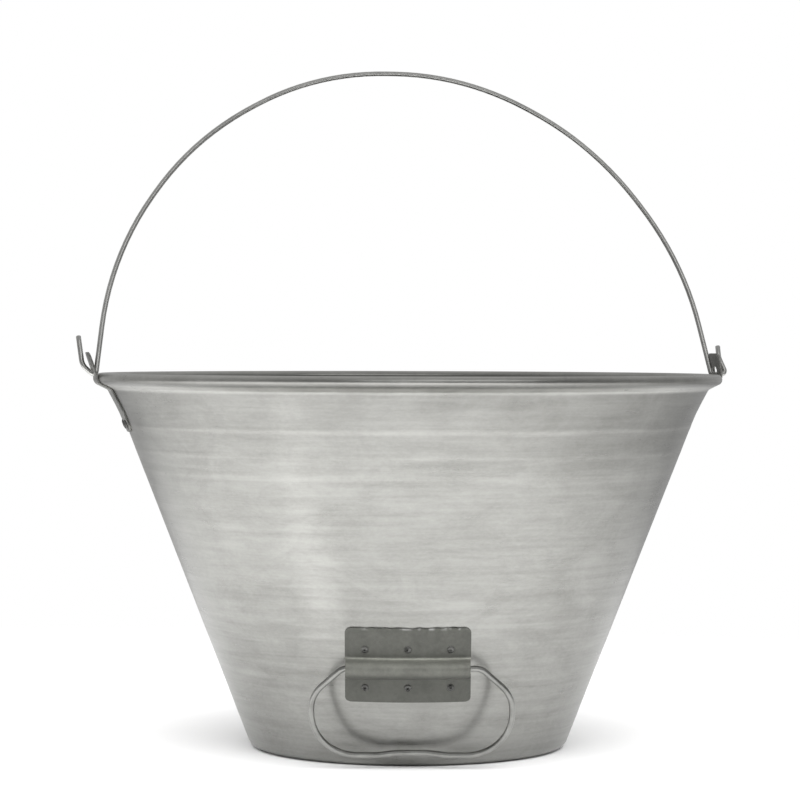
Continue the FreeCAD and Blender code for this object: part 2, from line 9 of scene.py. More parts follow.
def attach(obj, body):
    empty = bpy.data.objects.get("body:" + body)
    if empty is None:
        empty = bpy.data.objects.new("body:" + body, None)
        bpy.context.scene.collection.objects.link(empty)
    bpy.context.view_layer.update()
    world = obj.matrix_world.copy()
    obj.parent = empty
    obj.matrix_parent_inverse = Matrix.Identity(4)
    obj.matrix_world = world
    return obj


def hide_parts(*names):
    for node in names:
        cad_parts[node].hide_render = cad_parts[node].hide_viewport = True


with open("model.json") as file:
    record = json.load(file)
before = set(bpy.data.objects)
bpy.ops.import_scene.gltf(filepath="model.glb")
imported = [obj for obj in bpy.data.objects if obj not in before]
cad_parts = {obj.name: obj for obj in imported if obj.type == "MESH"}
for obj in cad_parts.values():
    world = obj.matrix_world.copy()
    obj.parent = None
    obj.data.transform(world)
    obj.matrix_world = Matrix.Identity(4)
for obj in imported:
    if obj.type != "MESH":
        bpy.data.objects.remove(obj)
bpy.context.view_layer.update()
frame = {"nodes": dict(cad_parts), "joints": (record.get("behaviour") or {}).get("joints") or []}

# A sheet steel flower pail with a rolled rim, two ears, a wire bail and a drop handle.
# Lengths below are in millimetres, as a tinsmith would give them, and MM turns them
# into the frame's metres. +Z is up, the ears are on +X and -X, the front faces -Y.

MM = 0.001
JOINTS = {joint["name"]: joint for joint in frame["joints"]}

# Pail: corners of the sheet's outer side as (radius, height, rounding), the curl round the
# rim wire, and the faint ridges left by turning as (height, rise, spread).
GAUGE = 0.9
SIDE_CORNERS = [
    (0, 3), (74, 3, 4), (79, 0, 4), (94.4, 0, 7.5), (172.48, 201.0, 100), (180.0, 215.2, 4),
]
CURL_HUB = (185.0, 221.2)
CURL_RADIUS = 3.15
CURL_TURN = math.radians(300)
WALL_FOOT = 94.4
WALL_TAPER = (180.72 - 94.4) / 222.2
WALL_LEAN = math.atan(WALL_TAPER)
RIDGES = [(193.0, 0.12, 1.3), (178.5, 0.08, 1.5), (167.0, 0.06, 2.0)]
BROAD_DENT = 0.10
FINE_RIPPLE = 0.022

# Painted light on the sheet up the pail, as (share of TONE_TOP, tone): painted shade at the foot and in
# a line under the rim, painted highlights along the turning ridges, just below the rim and round it.
TONE_TOP = 225.0
WALL_PAINTED_LIGHT = [
    (0.0, 0.72), (0.06, 0.78), (0.14, 0.88), (0.30, 0.90), (0.50, 0.97),
    (0.735, 0.95), (0.742, 1.02), (0.750, 0.95), (0.787, 0.92), (0.794, 1.0), (0.802, 0.91),
    (0.850, 0.86), (0.858, 1.05), (0.866, 0.84), (0.950, 0.78), (0.957, 1.25), (0.965, 1.25),
    (0.970, 0.50), (0.975, 0.50), (0.981, 1.15), (1.0, 1.15),
]

# Ears: corners of the strap's inner side as (radius, height, rounding).
EAR_GAUGE = 1.0
EAR_FLANK = [(168.37, 190), (172.62, 200.94, 100), (180.11, 215.09, 3.85)]
EAR_CORNERS = {
    "left": EAR_FLANK + [(188.35, 219.15, 3.3), (188.35, 222.2, 6), (193.29, 236.8)],
    "right": EAR_FLANK + [(192.5, 221.2, 2.5), (192.5, 224.6, 6), (190.78, 236.8)],
}
EAR_HALF_WIDTH = 12.5
EAR_FOOT_ROUNDING = 4.0
EAR_TOP_ROUNDING = 5.0
EAR_HOLE = 3.4

# Bail: corners of each half of its outline from the pivot axis, as (across, up, rounding).
# Its wire is a hair thinner than the solid's, so that it stays inside the solid's box.
BAIL_WIRE = 1.49
BAIL_LEAN = math.radians(17.6)
BAIL_SWAY = 0.9
BAIL_BOW = [(0, 193.45), (46.1, 193.45, 165), (125.2, 148.75, 186), (177.6, 72.25, 195)]
LEFT_HOOK = [(188.65, -3.7, 1.9), (196.3, 3.4, 9), (198.2, 21.6)]
RIGHT_HOOK = [(189.6, -1.7, 1.9), (199.25, -1.7, 2.4), (195.4, 9.0, 12), (195.3, 16.6)]

# Handle plate on the wall, the painted light over its bead as (share of BEAD_HEIGHTS, tone):
# a painted highlight along the bead's top and painted shade under it; the rivets' punch marks
# as (across, along), and the drop handle's half outline from its hinge.
PLATE_TURN = math.radians(-101)
PLATE_HEIGHT = 61.0
PLATE_GAUGE = 0.9
PLATE_GAP = 0.05
PLATE_HALF_LENGTH = 35.7
PLATE_HALF_WIDTH = 23.5
PLATE_ROUNDING = 3.0
BEAD_OFFSET = -1.1
BEAD_HALF_WIDTH = 5.25
BEAD_RISE = 10.0
BEAD_ROUNDING = 5.0
BEAD_END_RELIEF = 0.4
BEAD_HEIGHTS = (50.0, 70.0)
BEAD_PAINTED_LIGHT = [
    (0.18, 0.5), (0.22, 0.40), (0.30, 0.62), (0.50, 0.85),
    (0.68, 1.0), (0.73, 1.7), (0.76, 0.8), (0.80, 0.5),
]
SPECK_HEIGHTS = (80.8, 82.2)
PLATE_DENT = 0.06
TOP_EDGE_DEPTH = 5.0
TOP_EDGE_WAVE = 1.1
TOP_EDGE_LIP = 0.6
PUNCH_MARKS = [(-0.5, -0.7), (-0.7, 0.5), (-0.6, -0.6), (-0.1, -0.3), (0.0, -0.7), (-0.3, 0.7)]
HANDLE_WIRE = 1.7
HANDLE_TILT = math.radians(4.0)
HANDLE_SLIDE = 2.2
HANDLE_SWAY = 0.5
HANDLE_CORNERS = [
    (0, -52.0), (9, -52.0, 30), (20, -53.5, 30), (56.9, -53.5, 26), (56.9, -16.5, 20),
    (39.2, 0, 8), (0.4, 0),
]

# Rivets: the upset end and shank as (radius, height), the heads and where they sit.
RIVET_TAIL = [(0, -1.75), (1.7, -1.75), (2.05, -1.45), (2.1, -0.96), (1.2, -0.96)]
RIVET_LIP = 0.15
RIVET_HEAD = 2.1
RIVET_SPOTS = [(across, along) for along in (10.0, -14.0) for across in (-24.0, 0.0, 24.0)]
EAR_RIVET_HEAD = 3.0
EAR_RIVET_HEIGHT = 194.5
EAR_RIVET_HALF_SPACING = 6.5
EAR_PUNCH_MARK = (0.3, 0.4)

# Wires: facets round the wire, and the rounding of its cut ends.
WIRE_SIDES = 24
WIRE_END_ROUND = 0.35

# Stage and camera, in metres and radians, with the lens in millimetres.
FLOOR_CENTRE = (-0.22, -0.38, 0)
FLOOR_REACH = 1.6
FLOOR_FADE = (0.45, 1.15)
STRIP_PLACE = (-0.25, -0.195, 0.004)
CAMERA_DISTANCE = 1.7497
CAMERA_HEIGHT = 0.2398
CAMERA_TURN = math.radians(11)
CAMERA_PITCH = 0.018
CAMERA_ROLL = 0.0028
CAMERA_LENS = 130.491
CAMERA_SHIFT = -0.010825


# ------------------------------------------------------------------ paths and meshes

def rounded_path(corners, run_step=3.0, turn_step=math.radians(6)):
    """Points in millimetres along straight runs joined by tangent arcs."""
    points = [Vector(corners[0][:2])]
    for place in range(1, len(corners)):
        corner = Vector(corners[place][:2])
        if len(corners[place]) > 2:
            radius = corners[place][2]
            back = (Vector(corners[place - 1][:2]) - corner).normalized()
            ahead = (Vector(corners[place + 1][:2]) - corner).normalized()
            half = back.angle(ahead) / 2
            hub = corner + (back + ahead).normalized() * radius / math.sin(half)
            arrive = corner + back * radius / math.tan(half)
            leave = corner + ahead * radius / math.tan(half)
            add_run(points, arrive, run_step)
            add_arc(points, hub, arrive, leave, turn_step)
        else:
            add_run(points, corner, run_step)
    return points


def add_run(points, target, step):
    """Extend a path with a straight run in even steps."""
    start = points[-1].copy()
    count = max(1, round((target - start).length / step))
    if (target - start).length < 1e-6:
        return
    points.extend(start.lerp(target, number / count) for number in range(1, count + 1))


def add_arc(points, hub, start, end, step):
    """Extend a path with the shorter arc about hub, from start to end."""
    spoke = start - hub
    turn = math.atan2(spoke.x * (end - hub).y - spoke.y * (end - hub).x, spoke.dot(end - hub))
    count = max(2, math.ceil(abs(turn) / step))
    for number in range(1, count + 1):
        points.append(hub + Matrix.Rotation(turn * number / count, 2) @ spoke)


def left_normals(points):
    """The unit normal on the left of the path at each of its points."""
    normals = []
    for place, _ in enumerate(points):
        along = points[min(place + 1, len(points) - 1)] - points[max(place - 1, 0)]
        normals.append(Vector((-along.y, along.x)).normalized())
    return normals


def new_piece(name, vertices, faces, body, material):
    """A mesh object that rides on a body and takes the material it is given."""
    mesh = bpy.data.meshes.new(name)
    mesh.from_pydata([tuple(point) for point in vertices], [], faces)
    mesh.validate()
    piece = bpy.data.objects.new(name, mesh)
    bpy.context.collection.objects.link(piece)
    tidy = bmesh.new()
    tidy.from_mesh(mesh)
    bmesh.ops.recalc_face_normals(tidy, faces=tidy.faces)
    tidy.to_mesh(mesh)
    tidy.free()
    mesh.polygons.foreach_set("use_smooth", [True] * len(mesh.polygons))
    mesh.materials.append(material)
    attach(piece, body)
    return piece


def settle(piece):
    """Replace a piece's mesh with the result of its modifiers."""
    graph = bpy.context.evaluated_depsgraph_get()
    result = bpy.data.meshes.new_from_object(piece.evaluated_get(graph))
    piece.modifiers.clear()
    piece.data = result


def round_edges(piece, width):
    """Break the sharp edges of a piece, and shade it smooth over them."""
    bevel = piece.modifiers.new("broken edges", "BEVEL")
    bevel.width = width * MM
    bevel.segments = 3
    bevel.limit_method = "ANGLE"
    bevel.angle_limit = math.radians(40)
    settle(piece)
    piece.data.polygons.foreach_set("use_smooth", [True] * len(piece.data.polygons))


def grid_faces(rows, columns, wrap=False):
    """Quads over a grid of vertices numbered row by row; wrap joins the last column to the first."""
    faces = []
    for row in range(rows - 1):
        for column in range(columns if wrap else columns - 1):
            ahead = (column + 1) % columns
            faces.append((
                row * columns + column, row * columns + ahead,
                (row + 1) * columns + ahead, (row + 1) * columns + column,
            ))
    return faces


def turned(name, outline, segments, shape, body, material):
    """A closed solid turned about an axis.

    outline starts and ends on the axis; shape(angle, place) gives the vertex at an angle
    for the outline's point at a place.
    """
    last = len(outline) - 1
    vertices = [shape(0.0, 0)]
    for place in range(1, last):
        vertices += [shape(2 * math.pi * step / segments, place) for step in range(segments)]
    vertices.append(shape(0.0, last))
    faces = [tuple(1 + corner for corner in face) for face in grid_faces(last - 1, segments, wrap=True)]
    top = 1 + (last - 2) * segments
    for step in range(segments):
        ahead = (step + 1) % segments
        faces.append((0, 1 + ahead, 1 + step))
        faces.append((len(vertices) - 1, top + step, top + ahead))
    return new_piece(name, vertices, faces, body, material)


def wire_along(name, centre_line, radius, body, material):
    """A round wire along points in metres, its cut ends slightly rounded."""
    length = len(centre_line)
    tangents = []
    for place in range(length):
        along = centre_line[min(place + 1, length - 1)] - centre_line[max(place - 1, 0)]
        tangents.append(along.normalized())
    side = tangents[0].orthogonal().normalized()
    rings = []
    for place, centre in enumerate(centre_line):
        if place:
            turn = tangents[place - 1].rotation_difference(tangents[place])
            side = (turn @ side).normalized()
        rings.append((centre, tangents[place], side.copy(), radius * MM))
    cut = WIRE_END_ROUND * MM
    first, last = rings[0], rings[-1]
    rings.insert(0, (*first[:3], radius * MM - cut))
    rings[1] = (first[0] + first[1] * cut, first[1], first[2], radius * MM)
    rings[-1] = (last[0] - last[1] * cut, last[1], last[2], radius * MM)
    rings.append((*last[:3], radius * MM - cut))
    vertices = []
    for centre, tangent, start_side, size in rings:
        across = tangent.cross(start_side)
        for step in range(WIRE_SIDES):
            angle = 2 * math.pi * step / WIRE_SIDES
            vertices.append(centre + (start_side * math.cos(angle) + across * math.sin(angle)) * size)
    faces = grid_faces(len(rings), WIRE_SIDES, wrap=True)
    faces.append(tuple(range(WIRE_SIDES)))
    faces.append(tuple(range(len(vertices) - WIRE_SIDES, len(vertices))))
    return new_piece(name, vertices, faces, body, material)


# ------------------------------------------------------------------ the wall's surface

def unevenness(angle, height):
    """How far the hand-finished sheet stands proud of its true shape, in millimetres."""
    foot = min(1.0, max(0.0, (height - 2.0) / 12.0))
    brim = min(1.0, max(0.0, (217.0 - height) / 8.0))
    around = Vector((math.cos(angle), math.sin(angle), 0)) * 2.2
    broad = noise.noise(around + Vector((0, 0, height / 70)))
    ripple = noise.noise(around * 1.6 + Vector((9, 4, height / 9)))
    bulge = BROAD_DENT * broad + FINE_RIPPLE * ripple
    for level, rise, spread in RIDGES:
        bulge += rise * math.exp(-((height - level) / spread) ** 2)
    return bulge * (foot * brim)


def on_wall(turn, height, across=0.0, along=0.0, out=0.0, hold=0.0):
    """A point in metres off the wall: across it, along its slope and out of it.

    hold is how far the point keeps its true place instead of following the uneven sheet.
    """
    level = height + along * math.cos(WALL_LEAN)
    radius = WALL_FOOT + WALL_TAPER * level
    out += unevenness(turn + math.asin(across / radius), level) * (1 - hold)
    radius += out * math.cos(WALL_LEAN)
    level -= out * math.sin(WALL_LEAN)
    angle = turn + math.asin(across / radius)
    return Vector((radius * math.cos(angle), radius * math.sin(angle), level)) * MM


def wall_axes(turn, height, across=0.0, along=0.0):
    """Directions at a place on the wall: level along it, up its slope and out of it."""
    level = height + along * math.cos(WALL_LEAN)
    turn += math.asin(across / (WALL_FOOT + WALL_TAPER * level))
    heading = Vector((math.cos(turn), math.sin(turn), 0))
    up = Vector((0, 0, 1))
    slope = heading * math.sin(WALL_LEAN) + up * math.cos(WALL_LEAN)
    normal = heading * math.cos(WALL_LEAN) - up * math.sin(WALL_LEAN)
    return slope.cross(normal), slope, normal


# ------------------------------------------------------------------ materials

def ramped(tree, value, tones):
    """A grey level looked up along a value from 0 to 1, through (value, tone) stops."""
    ramp = tree.nodes.new("ShaderNodeValToRGB")
    tree.links.new(value, ramp.inputs["Fac"])
    stops = ramp.color_ramp.elements
    stops[0].position, stops[1].position = tones[0][0], tones[-1][0]
    stops[0].color, stops[1].color = ((tone, tone, tone, 1) for _, tone in (tones[0], tones[-1]))
    for level, tone in tones[1:-1]:
        stops.new(level).color = (tone, tone, tone, 1)
    return ramp.outputs["Color"]


def shader(name):
    """A new material with its node tree and main shader."""
    material = bpy.data.materials.new(name)
    material.use_nodes = True
    tree = material.node_tree
    return material, tree, tree.nodes["Principled BSDF"]


def place_noise(tree, stretch, scale, detail=4.0, roughness=0.55, distortion=0.0):
    """Noise over the object's own coordinates, stretched along its axes."""
    coordinates = tree.nodes.new("ShaderNodeTexCoord")
    mapping = tree.nodes.new("ShaderNodeMapping")
    mapping.inputs["Scale"].default_value = stretch
    pattern = tree.nodes.new("ShaderNodeTexNoise")
    pattern.inputs["Scale"].default_value = scale
    pattern.inputs["Detail"].default_value = detail
    pattern.inputs["Roughness"].default_value = roughness
    pattern.inputs["Distortion"].default_value = distortion
    tree.links.new(coordinates.outputs["Object"], mapping.inputs["Vector"])
    tree.links.new(mapping.outputs["Vector"], pattern.inputs["Vector"])
    return pattern.outputs["Fac"]


def object_axes(tree):
    """The object's own coordinates, one output to an axis."""
    place = tree.nodes.new("ShaderNodeTexCoord")
    split = tree.nodes.new("ShaderNodeSeparateXYZ")
    tree.links.new(place.outputs["Object"], split.inputs[0])
    return split.outputs


def ranged(tree, value, low, high, source):
    """A value spread from one range to another."""
    node = tree.nodes.new("ShaderNodeMapRange")
    node.inputs["From Min"].default_value = source[0]
    node.inputs["From Max"].default_value = source[1]
    node.inputs["To Min"].default_value = low
    node.inputs["To Max"].default_value = high
    tree.links.new(value, node.inputs["Value"])
    return node.outputs["Result"]


def combined(tree, operation, first, second):
    """Arithmetic on two sockets or numbers."""
    node = tree.nodes.new("ShaderNodeMath")
    node.operation = operation
    for socket, value in zip(node.inputs, (first, second)):
        if isinstance(value, (int, float)):
            socket.default_value = value
        else:
            tree.links.new(value, socket)
    return node.outputs[0]


def tinted(tree, value, dark, light):
    """A colour between two, chosen by a value from 0 to 1."""
    node = tree.nodes.new("ShaderNodeMix")
    node.data_type = "RGBA"
    node.inputs[6].default_value = (*dark, 1)
    node.inputs[7].default_value = (*light, 1)
    tree.links.new(value, node.inputs[0])
    return node.outputs[2]


def bumped(tree, height, distance, strength=1.0):
    """A bump normal from a height pattern; distance is in millimetres."""
    node = tree.nodes.new("ShaderNodeBump")
    node.inputs["Distance"].default_value = distance * MM
    node.inputs["Strength"].default_value = strength
    tree.links.new(height, node.inputs["Height"])
    return node.outputs["Normal"]


def painted_wall_light(tree):
    """Painted light on the sheet: painted shade at its foot, under its rim and towards its right side,
    painted highlights on its ridges and round its rim.
    """
    axes = object_axes(tree)
    level = ranged(tree, axes["Z"], 0, 1, (0, TONE_TOP * MM))
    return combined(tree, "MULTIPLY", ramped(tree, level, WALL_PAINTED_LIGHT),
                    ranged(tree, axes["X"], 1.0, 0.84, (0.0, 0.16)))


def shaded(tree, colour, amount):
    """A colour made darker or lighter by a factor."""
    node = tree.nodes.new("ShaderNodeVectorMath")
    node.operation = "SCALE"
    tree.links.new(colour, node.inputs[0])
    tree.links.new(amount, node.inputs["Scale"])
    return node.outputs[0]


def spun_sheet():
    """Tinned sheet: level turning marks, blotchy clouding, a satin gloss."""
    material, tree, surface = shader("spun_tinned_sheet")
    streaks = place_noise(tree, (13, 13, 230), 1.0, detail=5, roughness=0.6, distortion=0.3)
    hairlines = place_noise(tree, (18, 18, 1500), 1.0, detail=3, roughness=0.7)
    clouds = place_noise(tree, (26, 26, 44), 1.0, detail=6, roughness=0.62, distortion=0.8)
    drifts = place_noise(tree, (7, 7, 9), 1.0, detail=2, roughness=0.5)
    grain = place_noise(tree, (1, 1, 2.2), 330.0, detail=4, roughness=0.7)
    tone = combined(tree, "MULTIPLY", streaks, 0.30)
    for pattern, weight in ((clouds, 0.38), (drifts, 0.16), (grain, 0.16)):
        tone = combined(tree, "ADD", tone, combined(tree, "MULTIPLY", pattern, weight))
    colour = tinted(tree, ranged(tree, tone, 0, 1, (0.40, 0.60)),
                    (0.293, 0.292, 0.276), (0.416, 0.415, 0.396))
    # The sheet's colour is scaled here by painted light: painted shade and painted highlights up the
    # pail, and painted shade towards its right.
    tree.links.new(shaded(tree, colour, painted_wall_light(tree)), surface.inputs["Base Color"])
    gloss = combined(tree, "ADD",
                     combined(tree, "MULTIPLY", clouds, 0.5),
                     combined(tree, "MULTIPLY", hairlines, 0.5))
    tree.links.new(ranged(tree, gloss, 0.26, 0.38, (0.35, 0.65)), surface.inputs["Roughness"])
    relief = combined(tree, "ADD",
                      combined(tree, "MULTIPLY", hairlines, 0.30),
                      combined(tree, "MULTIPLY", streaks, 0.70))
    tree.links.new(bumped(tree, relief, 0.05, 0.4), surface.inputs["Normal"])
    surface.inputs["Metallic"].default_value = 1.0
    surface.inputs["Anisotropic"].default_value = 0.45
    surface.inputs["Anisotropic Rotation"].default_value = 0.25
    tangent = tree.nodes.new("ShaderNodeTangent")
    tangent.direction_type = "RADIAL"
    tangent.axis = "Z"
    tree.links.new(tangent.outputs["Tangent"], surface.inputs["Tangent"])
    return material


def dull_metal(name, dark, light, gloss=(0.34, 0.5), grain_scale=260.0, relief=0.03,
               metallic=1.0):
    """Plain steel with mottled tone, uneven gloss and a fine grain."""
    material, tree, surface = shader(name)
    mottle = place_noise(tree, (1, 1, 1), 60.0, detail=6, roughness=0.6, distortion=0.3)
    grain = place_noise(tree, (1, 1, 1), grain_scale, detail=4, roughness=0.7)
    tone = combined(tree, "ADD",
                    combined(tree, "MULTIPLY", mottle, 0.6),
                    combined(tree, "MULTIPLY", grain, 0.4))
    tree.links.new(tinted(tree, ranged(tree, tone, 0, 1, (0.38, 0.62)), dark, light),
                   surface.inputs["Base Color"])
    tree.links.new(ranged(tree, mottle, gloss[0], gloss[1], (0.35, 0.65)), surface.inputs["Roughness"])
    tree.links.new(bumped(tree, grain, relief, 0.6), surface.inputs["Normal"])
    surface.inputs["Metallic"].default_value = metallic
    return material


def plate_steel():
    """Dull plate with bright specks along its top edge, and painted light over its bead."""
    material, tree, surface = shader("plate_steel")
    mottle = place_noise(tree, (1, 1, 1), 70.0, detail=6, roughness=0.6, distortion=0.3)
    grain = place_noise(tree, (1, 1, 1), 420.0, detail=4, roughness=0.7)
    tone = combined(tree, "ADD",
                    combined(tree, "MULTIPLY", mottle, 0.65),
                    combined(tree, "MULTIPLY", grain, 0.35))
    colour = tinted(tree, ranged(tree, tone, 0, 1, (0.38, 0.62)),
                    (0.070, 0.0710, 0.0625), (0.102, 0.1035, 0.0915))
    height = object_axes(tree)["Z"]
    specks = place_noise(tree, (1, 1, 0.5), 150.0, detail=2)
    # Bright specks along the plate's top edge, by height.
    edge_specks = combined(tree, "MULTIPLY", ranged(tree, specks, 0, 0.8, (0.52, 0.64)),
                      ranged(tree, height, 0, 1, [level * MM for level in SPECK_HEIGHTS]))
    # Painted highlight along the top of the bead and painted shade under it, by height.
    level = ranged(tree, height, 0, 1, [level * MM for level in BEAD_HEIGHTS])
    colour = shaded(tree, colour, combined(tree, "MULTIPLY", ramped(tree, level, BEAD_PAINTED_LIGHT), 2.0))
    mix = tree.nodes.new("ShaderNodeMix")
    mix.data_type = "RGBA"
    mix.inputs[7].default_value = (0.34, 0.34, 0.33, 1)
    tree.links.new(edge_specks, mix.inputs[0])
    tree.links.new(colour, mix.inputs[6])
    tree.links.new(mix.outputs[2], surface.inputs["Base Color"])
    tree.links.new(ranged(tree, mottle, 0.38, 0.52, (0.35, 0.65)), surface.inputs["Roughness"])
    tree.links.new(bumped(tree, grain, 0.03, 0.6), surface.inputs["Normal"])
    surface.inputs["Metallic"].default_value = 0.4
    return material


# ------------------------------------------------------------------ the pieces

def make_pail(material):
    """Base, wall and rolled rim, with the sheet's real thickness and its slight unevenness."""
    hub = Vector(CURL_HUB)
    towards = hub - Vector(SIDE_CORNERS[-1][:2])
    swing = math.asin(CURL_RADIUS / towards.length)
    run = (Matrix.Rotation(-swing, 2) @ towards).normalized()
    touch = Vector(SIDE_CORNERS[-1][:2]) + run * math.sqrt(towards.length ** 2 - CURL_RADIUS ** 2)
    outer = rounded_path(SIDE_CORNERS + [tuple(touch)], run_step=1.6)
    curl_steps = 44
    for step in range(1, curl_steps + 1):
        outer.append(hub + Matrix.Rotation(CURL_TURN * step / curl_steps, 2) @ (touch - hub))
    normals = left_normals(outer)
    edge = [outer[-1] + normals[-1] * GAUGE * share + (outer[-1] - outer[-2]).normalized() * 0.18
            for share in (0.25, 0.75)]
    inner = [point + normal * GAUGE for point, normal in zip(outer, normals)]
    inner[0].x = 0
    outline = outer + edge + inner[::-1]
    bend = list(normals) + [normals[-1]] * 2 + list(normals[::-1])
    axis_heights = {0: outer[0].y, len(outline) - 1: inner[0].y}

    def shape(angle, place):
        if place in axis_heights:
            return Vector((0, 0, axis_heights[place])) * MM
        point = outline[place] - bend[place] * unevenness(angle, outline[place].y)
        return Vector((point.x * math.cos(angle), point.x * math.sin(angle), point.y)) * MM

    pail = turned("pail_sheet_body", outline, 540, shape, "pail", material)
    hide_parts("bucket_body")
    return pail


def make_ear(side, turn, material):
    """A strap bent to the wall and round the rim, with a punched hole for the bail."""
    path = rounded_path(EAR_CORNERS[side], run_step=1.0)
    foot, top = path[0].y, path[-1].y
    columns = 33
    vertices = []
    for point in path:
        reach = EAR_HALF_WIDTH
        for edge, rounding in ((foot, EAR_FOOT_ROUNDING), (top, EAR_TOP_ROUNDING)):
            depth = rounding - abs(point.y - edge)
            if depth > 0:
                reach = EAR_HALF_WIDTH - rounding + math.sqrt(max(rounding ** 2 - depth ** 2, 0))
        for column in range(columns):
            across = reach * (2 * column / (columns - 1) - 1)
            away = math.sqrt(point.x ** 2 - across ** 2)
            vertices.append(Vector((away, across, point.y)) * MM)
    faces = grid_faces(len(path), columns)
    ear = new_piece(f"{side}_ear_strap", vertices, faces, "pail", material)
    outward = ear.data.polygons[0].normal.x > 0
    thick = ear.modifiers.new("gauge", "SOLIDIFY")
    thick.thickness = EAR_GAUGE * MM
    thick.offset = 1.0 if outward else -1.0
    settle(ear)
    cutter = bpy.data.meshes.new("punch")
    drill = bmesh.new()
    hole_place = Matrix.Translation((path[-1].x * MM, 0, JOINTS["bail_swing"]["pos_m"][2]))
    bmesh.ops.create_cone(drill, cap_ends=True, segments=40, depth=20 * MM,
                          radius1=EAR_HOLE * MM, radius2=EAR_HOLE * MM,
                          matrix=hole_place @ Matrix.Rotation(math.pi / 2, 4, "Y"))
    drill.to_mesh(cutter)
    drill.free()
    punch = bpy.data.objects.new("punch", cutter)
    bpy.context.collection.objects.link(punch)
    hole = ear.modifiers.new("hole", "BOOLEAN")
    hole.operation = "DIFFERENCE"
    hole.solver = "EXACT"
    hole.object = punch
    settle(ear)
    bpy.data.objects.remove(punch)
    round_edges(ear, 0.28)
    ear.data.transform(Matrix.Rotation(turn, 4, "Z"))
    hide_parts(f"{side}_ear")
    return ear


def make_bail(material):
    """The carrying bail, bent by hand from one wire."""
    left, right = (rounded_path(BAIL_BOW + hook, run_step=4.0, turn_step=math.radians(2.5))
                   for hook in (LEFT_HOOK, RIGHT_HOOK))
    outline = [Vector((-point.x, point.y)) for point in left[:0:-1]] + right
    pivot = Vector(JOINTS["bail_swing"]["pos_m"])
    line = []
    for point in outline:
        hand = min(1.0, max(0.0, (point.y - 30) / 60)) * min(1.0, max(0.0, (190 - point.y) / 40))
        sway = noise.noise(Vector((point.x / 55, point.y / 55, 3.7))) * BAIL_SWAY * hand
        local = Vector((point.x, sway, point.y)) * MM
        line.append(pivot + Matrix.Rotation(-BAIL_LEAN, 3, "X") @ local)
    bail = wire_along("bail_wire", line, BAIL_WIRE, "bail", material)
    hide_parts("bail")
    return bail


def make_drop_handle(material):
    """The ring of wire hinged in the plate's bead, its ends butted inside it."""
    half = rounded_path(HANDLE_CORNERS, run_step=2.5, turn_step=math.radians(4))
    outline = [Vector((-point.x, point.y)) for point in half[:0:-1]] + half
    level, slope, normal = wall_axes(PLATE_TURN, PLATE_HEIGHT, 0, BEAD_OFFSET)
    hang = Quaternion(level, -HANDLE_TILT)
    down, out = hang @ slope, hang @ normal
    hinge = Vector(JOINTS["drop_handle_swing"]["pos_m"])
    line = []
    for point in outline:
        hand = min(1.0, max(0.0, (-point.y - 10) / 15))
        sway = noise.noise(Vector((point.x / 30, point.y / 30, 8.1))) * HANDLE_SWAY * hand
        line.append(hinge + (level * (point.x + HANDLE_SLIDE) + down * point.y + out * sway) * MM)
    handle = wire_along("drop_handle_ring", line, HANDLE_WIRE, "drop_handle", material)
    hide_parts("drop_handle")
    return handle


def plate_section():
    """The plate's section up its width as (along the slope, out of the wall)."""
    seat = PLATE_GAP + PLATE_GAUGE
    low, high = BEAD_OFFSET - BEAD_HALF_WIDTH, BEAD_OFFSET + BEAD_HALF_WIDTH
    return rounded_path([
        (-PLATE_HALF_WIDTH, seat), (low, seat, 0.9), (low, BEAD_RISE, BEAD_ROUNDING),
        (high, BEAD_RISE, BEAD_ROUNDING), (high, seat, 0.9), (PLATE_HALF_WIDTH, seat),
    ], run_step=0.8, turn_step=math.radians(9))


def make_handle_plate(material):
    """The dull plate wrapped on the wall, its bead pressed out over the drop handle."""
    section = plate_section()
    columns = 121
    vertices = []
    for along, out in section:
        hold = min(1.0, (out - PLATE_GAP - PLATE_GAUGE) / 3.0)
        reach = PLATE_HALF_LENGTH - BEAD_END_RELIEF * hold
        depth = PLATE_ROUNDING - (PLATE_HALF_WIDTH - abs(along))
        if depth > 0:
            reach += math.sqrt(max(PLATE_ROUNDING ** 2 - depth ** 2, 0)) - PLATE_ROUNDING
        for column in range(columns):
            across = reach * (2 * column / (columns - 1) - 1)
            top = max(0.0, (along - PLATE_HALF_WIDTH + TOP_EDGE_DEPTH) / TOP_EDGE_DEPTH) ** 2
            wave = TOP_EDGE_WAVE * abs(noise.noise(Vector((across / 7.5, 1.3, 0))))
            lip = max(0.0, TOP_EDGE_LIP * noise.noise(Vector((across / 6.0, 7.7, 0))) + 0.05)
            dent = PLATE_DENT * noise.noise(Vector((across / 12, along / 8, 5.0))) * (1 - hold)
            vertices.append(on_wall(PLATE_TURN, PLATE_HEIGHT, across, along - top * wave,
                                    out + top * lip + dent, hold))
    faces = grid_faces(len(section), columns)
    plate = new_piece("handle_plate_pressing", vertices, faces, "pail", material)
    middle = plate.data.polygons[len(plate.data.polygons) // 2]
    facing = middle.normal.dot(wall_axes(PLATE_TURN, PLATE_HEIGHT)[2])
    thick = plate.modifiers.new("gauge", "SOLIDIFY")
    thick.thickness = PLATE_GAUGE * MM
    thick.offset = -1.0 if facing > 0 else 1.0
    round_edges(plate, 0.22)
    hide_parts("handle_plate")
    return plate


def rivet_outline(head, rise):
    """Half section of a set rivet: upset end, shank and a head with a punch mark."""
    seat = GAUGE + 2 * PLATE_GAP
    base = seat + RIVET_LIP
    dome = rise - RIVET_LIP
    outline = RIVET_TAIL + [(RIVET_TAIL[-1][0], seat), (head, seat), (head + 0.02, base)]
    for step in range(1, 8):
        share = math.radians(90) * step / 8
        outline.append((head * math.cos(share), base + dome * math.sin(share)))
    crown = base + dome
    mark = head * 0.55
    outline += [(mark, crown - 0.05), (mark * 0.8, crown - 0.16), (mark * 0.5, crown - 0.60),
                (mark * 0.25, crown - 0.66), (0, crown - 0.66)]
    return outline


